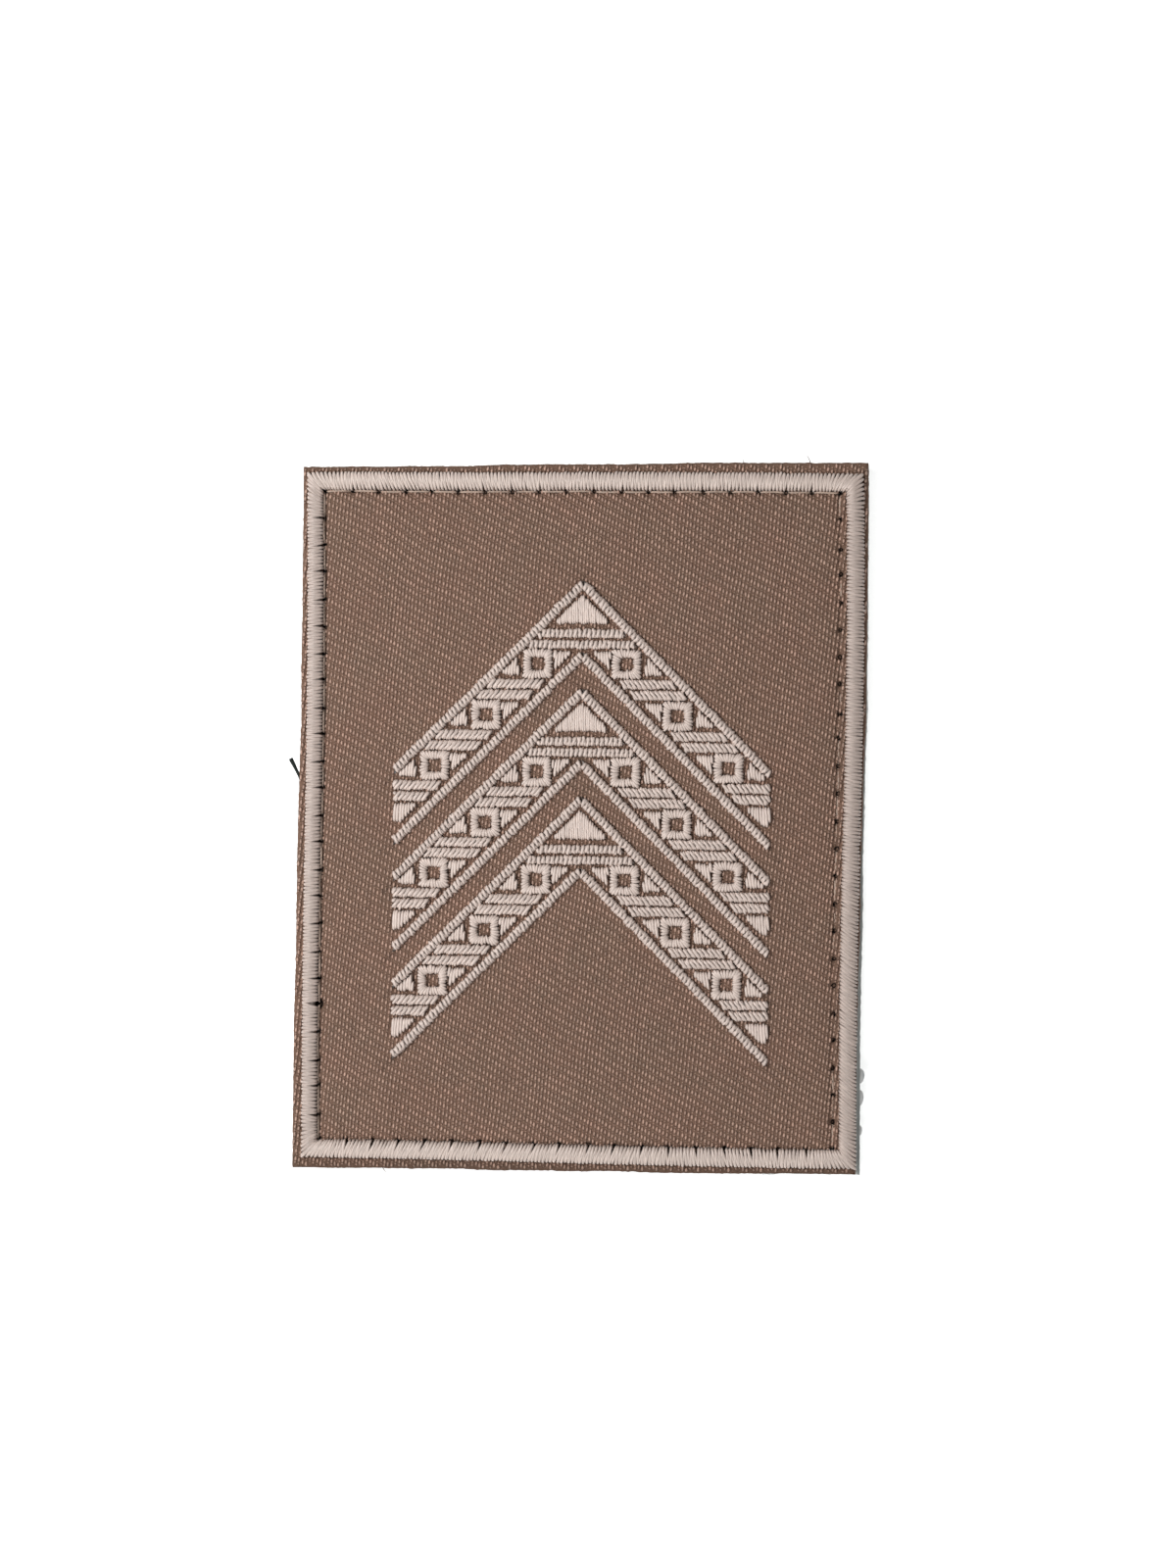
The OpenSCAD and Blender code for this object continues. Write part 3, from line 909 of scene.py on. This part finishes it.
# How each motif of a right arm is stitched: way of the column and its layers, and a layer
# is way of its stitches, spacing along the column, lift and width. Ways are in degrees.
RAIL = (-45, [(30, 0.42, -0.05, 0.95), (67, 0.42, 0.0, 0.92)])
STITCHING = {
    "outer_rail": RAIL,
    "inner_rail": RAIL,
    "bars": (0, [(106, 0.44, -0.05, 0.95), (132, 0.44, 0.0, 0.92)]),
    "outer_triangles": (0, [(96, 0.25, 0.0, 0.9)]),
    "inner_triangles": (0, [(98, 0.25, 0.0, 0.9)]),
    "end_triangle": (0, [(94, 0.25, 0.0, 0.9)]),
    "tip_triangle": (0, [(91, 0.2, 0.0, 0.8)]),
    "tip_bar_upper": (0, [(104, 0.42, -0.05, 0.95), (72, 0.42, 0.0, 0.92)]),
    "tip_bar_lower": (0, [(104, 0.42, -0.05, 0.95), (70, 0.42, 0.0, 0.92)]),
}


def add_filled(shape, solid, kind, mirrored):
    """Covers a convex motif with parallel stitches, layer by layer."""
    ring = footprint(solid)
    base, rise = solid[:, 2].min(), np.ptp(solid[:, 2])
    add_underlay(shape, ring, base, rise)
    axis, layers = STITCHING[kind]
    for number, (way, spacing, lift, width) in enumerate(layers):
        pitch = spacing * abs(math.sin(math.radians(way - axis)))
        angle = math.radians(180 - way if mirrored else way)
        starts, ends = clip_lines(ring, angle, pitch, 0.35 + 0.5 * number)
        if kind == "tip_triangle":
            starts, ends = broken(starts, ends, 1.1)
        add_stitches(shape, starts, ends, base, rise, lift, width=width)


def add_square_underlay(shape, outer, inner, base, rise):
    """The packing stitches under a hollow square, as a low frame."""
    middle = outer.mean(axis=0)
    section = (
        (outer, 0.9, -0.1), (outer, 0.9, 0.25), (outer, 0.82, 0.55),
        (inner, 1.35, 0.55), (inner, 1.2, 0.25), (inner, 1.2, -0.1),
    )
    block = [at_height(middle + (ring - middle) * k, base + h * rise) for ring, k, h in section]
    index = np.arange(24).reshape(6, 4)
    above, ahead = np.roll(index, -1, axis=0), np.roll(index, -1, axis=1)
    quads = np.stack([index, ahead, np.roll(above, -1, axis=1), above], axis=-1).reshape(-1, 4)
    shape.add(np.concatenate(block), [quads])


def add_square(shape, solid):
    """Covers a hollow square with stitches that fan round its corners."""
    base, rise = solid[:, 2].min(), np.ptp(solid[:, 2])
    outer, inner = outlines(solid)
    add_square_underlay(shape, outer, inner, base, rise)
    middle = outer.mean(axis=0)
    t = (np.arange(SQUARE_STITCHES) + 0.5) / SQUARE_STITCHES
    inner = middle + (inner - middle) * 1.08
    for k in range(4):
        a, b = outer[k], outer[(k + 1) % 4]
        c, d = inner[k], inner[(k + 1) % 4]
        ends = a + (b - a) * t[:, None]
        starts = c + (d - c) * t[:, None]
        add_stitches(shape, starts, ends, base, rise, width=0.88, flare=0.35, reach=(0, MOTIF_REACH))


def make_motif(node):
    """The stitches of one CAD node of a chevron."""
    shape = Shape()
    kind = node.split("_", 1)[1].replace("left_", "").replace("right_", "")
    for solid in PADS[node]:
        if kind == "squares":
            add_square(shape, solid)
        else:
            add_filled(shape, solid, kind, "_left_" in node)
    return shape.piece(f"{node}_stitches", THREAD, "beige_thread", [node])


def strip(inner, outer, low, high):
    """The ring round a part of a border's width, between two shares of it, from above."""
    across = outer - inner
    ring = np.concatenate([inner + across * low, (inner + across * high)[::-1]])
    x, y = ring.T
    turned = (x * np.roll(y, -1) - y * np.roll(x, -1)).sum() < 0
    return ring[::-1] if turned else ring


def border_holes(side):
    """The needle holes of a side's zigzag, on its inner and its outer edge."""
    outer, inner = side["outer"], side["inner"]
    long, short = (np.linalg.norm(e[-1] - e[0]) for e in (outer, inner))
    middle = (long + short) / 2
    at = np.linspace(0.04, middle - 0.04, round(middle / BORDER_PITCH))
    to_corners = np.stack([middle - at, at]) / BORDER_FAN
    fan = (long - short) / 4 * (1 - np.clip(to_corners, 0, 1)) ** 1.5
    drift = 0.05 * np.sin(at * 0.55 + len(side["name"]))
    lean = np.interp(at / middle, *BORDER_LEAN[side["name"]]) + drift
    shift = fan[0] - fan[1] + lean / 2
    on_outer = on_side(outer, (at + shift - middle / 2) / long + 0.5)
    on_inner = on_side(inner, (at - shift - middle / 2) / short + 0.5)
    return on_inner, on_outer


def spread_by_seam(spots, way, wedge):
    """Moves a border's inner holes along it, away from the seam's needle holes."""
    for hole in np.concatenate([holes[1:-1] for holes in HOLES]):
        off = (spots - hole) @ way
        near = np.linalg.norm(spots - hole, axis=1) < 0.8
        wide = swell_of(hole)
        spread = near * wide * wedge * np.sign(off) * np.exp(-((off / (0.25 * wide)) ** 2))
        spots = spots + spread[:, None] * way
    return spots


def make_border(side):
    """One side of the border, whose stitches fan towards its mitred corners."""
    shape = Shape()
    name, base, rise, outer, inner = (side[key] for key in ("name", "base", "rise", "outer", "inner"))
    section = ((0.1, 0.94, -0.08), (0.12, 0.92, 0.25), (0.25, 0.8, 0.66))
    add_loft(shape, [at_height(strip(inner, outer, a, b), base + h * rise) for a, b, h in section])
    starts, ends = border_holes(side)
    way = (inner[-1] - inner[0]) / np.linalg.norm(inner[-1] - inner[0])
    starts = spread_by_seam(starts, way, WEDGE[name])
    starts = np.concatenate([starts, starts[1:]])
    ends = np.concatenate([ends, ends[:-1]])
    reach = BORDER_REACH[name]
    add_stitches(shape, starts, ends, base, rise, loose=0.03, width=0.9, arch=BORDER_ARCH, reach=reach)
    # The left and right sides get the painted shaded copy of the thread
    thread = SIDE_SHADED_THREAD if name in ("left", "right") else BORDER_THREAD
    return shape.piece(f"border_{name}_stitches", thread, "beige_thread", [f"border_{name}"])


# The hook tape

(BACKING,) = solids_of("hook_backing")
TAPE_TOP = BACKING[:, 2].max()
TAPE_SIDES = sides_of(ring_at(BACKING, TAPE_TOP))
TAPE_UNDER = np.unique(np.round(BACKING[:, 2], 3))[1]
HOOK_SIDES = sides_of(footprint(BACKING))


def closed_ring(sides, count):
    """Four sides as one closed ring of evenly spaced points, count to a side."""
    share = np.arange(count) / count
    shares = (share, share, 1 - share, 1 - share)
    return np.concatenate([on_side(side, share) for side, share in zip(sides, shares)])


def make_tape():
    """The tape: a flat weave with an uneven cut edge."""
    shape = Shape()
    ring = closed_ring(TAPE_SIDES, 160)
    ring[:, 0] += TAPE_OUT * (ring[:, 0] > TAPE_RIGHT) * (1 + 0.5 * (ring[:, 1] < TAPE_LOWER))
    out = ring / np.linalg.norm(ring, axis=1)[:, None]
    edge = (
        (TAPE_UNDER, -0.03, 0.02),
        (TAPE_UNDER + 0.15, 0.03, 0.03),
        (TAPE_TOP - 0.12, 0.0, 0.03),
        (TAPE_TOP, -0.06, 0.02),
    )
    rings = []
    for z, draw, fray in edge:
        rings.append(at_height(ring + out * (draw + rng.normal(0, fray, (len(ring), 1))), z))
    add_loft(shape, rings)
    return shape.piece("hook_tape", TAPE, "hook_tape", ["hook_backing"])


def make_hooks():
    """Rows of bent nylon hooks under the tape, which every other row bends the other way."""
    bottom, right, top, left = HOOK_SIDES
    low, high = np.minimum(bottom[0], left[0]), np.maximum(top[-1], right[-1])
    rows = np.arange(low[0] + 0.5, high[0] - 0.4, HOOK_ROW)
    spots, ways = [], []
    for number, x in enumerate(rows):
        odd = number % 2
        y = np.arange(low[1] + 0.4 + 0.5 * HOOK_PITCH * odd, high[1] - 0.4, HOOK_PITCH)
        spots.append(np.column_stack([np.full(len(y), x), y]) + rng.normal(0, 0.05, (len(y), 2)))
        ways.append((1 if odd else -1) * math.pi / 2 + rng.normal(0, 0.35, len(y)))
    spots, ways = np.concatenate(spots), np.concatenate(ways)
    z, run = np.array([(TAPE_UNDER + 0.03, 0.0), *HOOK_PROFILE]).T
    way = at_height(heading(ways), 0)
    paths = at_height(spots, 0)[:, None] + way[:, None] * run[None, :, None]
    paths[..., 2] = z
    side = np.cross(UP, way)
    half = np.full(paths.shape[:2], HOOK_R) * np.array([1.1, 1, 1, 1, 0.95, 0.7])
    shape = Shape()
    add_tubes(shape, paths, side, half, half, sides=5)
    return shape.piece("tape_hooks", NYLON, "hook_tape")


# Loose fibres

# Lobes at the tape's edge: X and Y of their middles, and half their sizes along X and Y
LOBES = (
    (17.72, -32.12, 1.4, 0.42),
    (26.1, -23.3, 0.36, 0.7),
    (26.1, -25.3, 0.3, 0.75),
    (26.1, -28.3, 0.2, 0.5),
)
# Long fibres at the cloth's cut edge: X and Y of their roots, way and length
LONG_FIBRES = ((20.91, 32.6, 1.85, 0.85), (14.8, 32.6, 1.5, 0.35), (-17.9, -32.5, -1.1, 0.6))
# Dark thread's end: Y of where it leaves the left edge, half its thickness, and its route
# from there, with shares of its thickness
TAIL_Y = 3.16
TAIL_R = 0.16
TAIL_ROUTE = np.array([
    [0.8, -1.1, -0.2, 0.9], [0.42, -0.6, -0.1, 0.9], [0.1, 0, 0, 0.9],
    [-0.1, 0.45, 0, 0.9], [-0.32, 0.9, 0.02, 0.95], [-0.46, 1.2, 0.06, 1.05],
    [-0.62, 1.52, 0.1, 1.2], [-0.8, 1.86, 0.14, 1.3], [-0.88, 2.04, 0.16, 1.2],
])


def curl(start, way, length, bend, count=7):
    """A fibre that sets off one way and curls evenly, with its height from start."""
    angle = way + bend * np.linspace(0, 1, count)
    step = length / (count - 1)
    xy = np.cumsum(heading(angle) * step, axis=0)
    xy = np.concatenate([np.zeros((1, 2)), xy[:-1]])
    z = start[2] + 0.12 * length * np.sin(np.linspace(0, 2.4, count)) * rng.uniform(-1, 1)
    return np.column_stack([start[:2] + xy, z])


def add_fibres(shape, fibres, half):
    paths = np.array(fibres)
    run = paths[:, -1, :2] - paths[:, 0, :2]
    side = at_height(left_of(run), 0)
    side /= np.linalg.norm(side, axis=1)[:, None] + 1e-9
    taper = np.linspace(1, 0.6, paths.shape[1])
    half = np.full(paths.shape[:2], half) * taper
    add_tubes(shape, paths, side, half, half, sides=5)


def make_frayed_tape():
    """Filaments that the cut freed along the tape's edges, thickest at the lower right."""
    shape, fibres = Shape(), []
    bottom, right, top, left = TAPE_SIDES
    tufts = (
        (right, 0.05, 0.14, 16, 0.0),
        (right, 0.15, 0.8, 8, 0.0),
        (bottom, 0.81, 0.87, 4, -math.pi / 2),
        (bottom, 0.05, 0.8, 4, -math.pi / 2),
        (top, 0.09, 0.16, 5, math.pi / 2),
        (left, 0.4, 0.9, 2, math.pi),
    )
    for side, low, high, count, out in tufts:
        for point in on_side(side, rng.uniform(low, high, count)):
            z = rng.uniform(TAPE_UNDER + 0.1, TAPE_TOP - 0.05)
            way = out + rng.normal(0, 1)
            start = np.array([point[0] - 0.1 * math.cos(out), point[1] - 0.1 * math.sin(out), z])
            length = rng.uniform(0.2, 0.5)
            fibres.append(curl(start, way, length, rng.choice([-1, 1]) * rng.uniform(2, 4)))
    add_fibres(shape, fibres, 0.04)
    return shape.piece("frayed_filaments", FILAMENT, "hook_tape")


def make_lobes():
    """Thin round lobes of the tape's coating that the cut left hanging out."""
    shape = Shape()
    turn = math.tau * np.arange(20) / 20
    z = TAPE_UNDER + 0.4
    for x, y, half_x, half_y in LOBES:
        out = heading(turn) * [half_x, half_y]
        out *= 1 + 0.06 * np.sin(3 * turn + x)[:, None]
        section = ((0.94, -0.03), (1, 0), (0.94, 0.03))
        add_loft(shape, [at_height(np.array([x, y]) + out * k, z + h) for k, h in section])
    return shape.piece("tape_lobes", COATING, "hook_tape")


def make_whiskers():
    """A few fine brown fibres at the cut edge of the cloth."""
    shape, fibres = Shape(), []
    bottom, right, top, left = CUT_SIDES
    long = [curl(np.array([x, y, CLOTH_MIDDLE]), way, length, 0.35) for x, y, way, length in LONG_FIBRES]
    add_fibres(shape, long, 0.045)
    for side, out in ((bottom, -1.57), (right, 0.0), (top, 1.57), (left, 3.14)):
        for x, y in on_side(side, rng.uniform(0.02, 0.98, 18)):
            start = np.array([x, y, rng.uniform(CLOTH_Z + 0.2, MARGIN_Z)])
            way = out + rng.normal(0, 0.7)
            length = rng.uniform(0.08, 0.24)
            fibres.append(curl(start, way, length, rng.normal(0, 1)))
    add_fibres(shape, fibres, 0.02)
    return shape.piece("edge_fibres", FIBRE, "brown_twill")


def make_tail():
    """The cut end of a dark thread that sticks out from under the left edge."""
    shape = Shape()
    left = CUT_SIDES[3]
    x = np.interp(TAIL_Y, left[:, 1], left[:, 0])
    route = TAIL_ROUTE[:, :3] + np.array([x, TAIL_Y, CLOTH_MIDDLE])
    half = TAIL_R * TAIL_ROUTE[:, 3]
    run = route[-1] - route[0]
    side = np.array([[-run[1], run[0], 0]]) / np.linalg.norm(run[:2])
    add_tubes(shape, route[None], side, half[None], half[None] * 0.85, sides=8)
    return shape.piece("thread_tail", TAIL_THREAD, "brown_twill")


cloth = make_cloth()
places, wefts = float_places(0), float_places((FLOAT_ROW - FLOAT_STEP) / 2)
floats = [
    make_floats("twill_floats_left", places[places[:, 0] < 0], wefts[wefts[:, 0] < 0]),
    make_floats("twill_floats_right", places[places[:, 0] >= 0], wefts[wefts[:, 0] >= 0]),
]
seam = make_seam()
holes = make_holes()
for border_side in BORDER:
    make_border(border_side)
for motif in MOTIFS:
    make_motif(motif)
tape = make_tape()
hooks = make_hooks()
make_frayed_tape()
make_lobes()
make_whiskers()
make_tail()


# Floor, light and camera

# The camera's place from the middle of the border, and its turns about X, Y and Z
CAMERA_PLACE = (20.63, 5.97, 261.53)
CAMERA_TURN = (-0.614, 4.380, 0.662)


def make_floor():
    mesh = bpy.data.meshes.new("floor")
    mesh.from_pydata([(-3, -3, 0), (3, -3, 0), (3, 3, 0), (-3, 3, 0)], [], [(0, 1, 2, 3)])
    shader = Shader("floor", 0.9, specular=0.1)
    shader.set("Base Color", grey(0.9))
    shader.set("Emission Color", grey(1))
    shader.set("Emission Strength", 0.6)
    mesh.materials.append(shader.material)
    add_object("floor", mesh)


def make_light(name, place, size, power):
    """A round soft light at a place in metres, which shines at the patch."""
    light = bpy.data.lights.new(name, "AREA")
    light.shape, light.size, light.energy = "DISK", size, power
    obj = add_object(name, light)
    obj.location = place
    obj.rotation_euler = Vector(place).to_track_quat("Z", "Y").to_euler()


def make_camera():
    """Looks straight down, a little from the right, as the photograph does."""
    data = bpy.data.cameras.new("camera")
    data.lens, data.sensor_width, data.clip_start = 65, 36, 0.01
    obj = add_object("camera", data)
    corners = np.array([p for side in BORDER for p in (side["outer"][0], side["outer"][-1])])
    x, y = corners.mean(axis=0)
    turn = Matrix.Identity(4)
    for angle, axis in zip(CAMERA_TURN, "XYZ"):
        turn = turn @ Matrix.Rotation(math.radians(angle), 4, axis)
    place = Vector((x, y, 0)) + Vector(CAMERA_PLACE)
    obj.matrix_world = Matrix.Translation(place * MM) @ turn
    bpy.context.scene.camera = obj


make_floor()
make_light("key", (-0.16, 0.05, 0.19), 0.09, 0.42)
make_light("front", (-0.12, -0.30, 0.48), 0.3, 1.12)
make_camera()
world = bpy.data.worlds.new("studio")
bpy.context.scene.world = world
world.use_nodes = True
sky = world.node_tree.nodes["Background"].inputs
sky["Color"].default_value = grey(1.0)
sky["Strength"].default_value = 0.22
bpy.context.scene.view_settings.view_transform = "Standard"
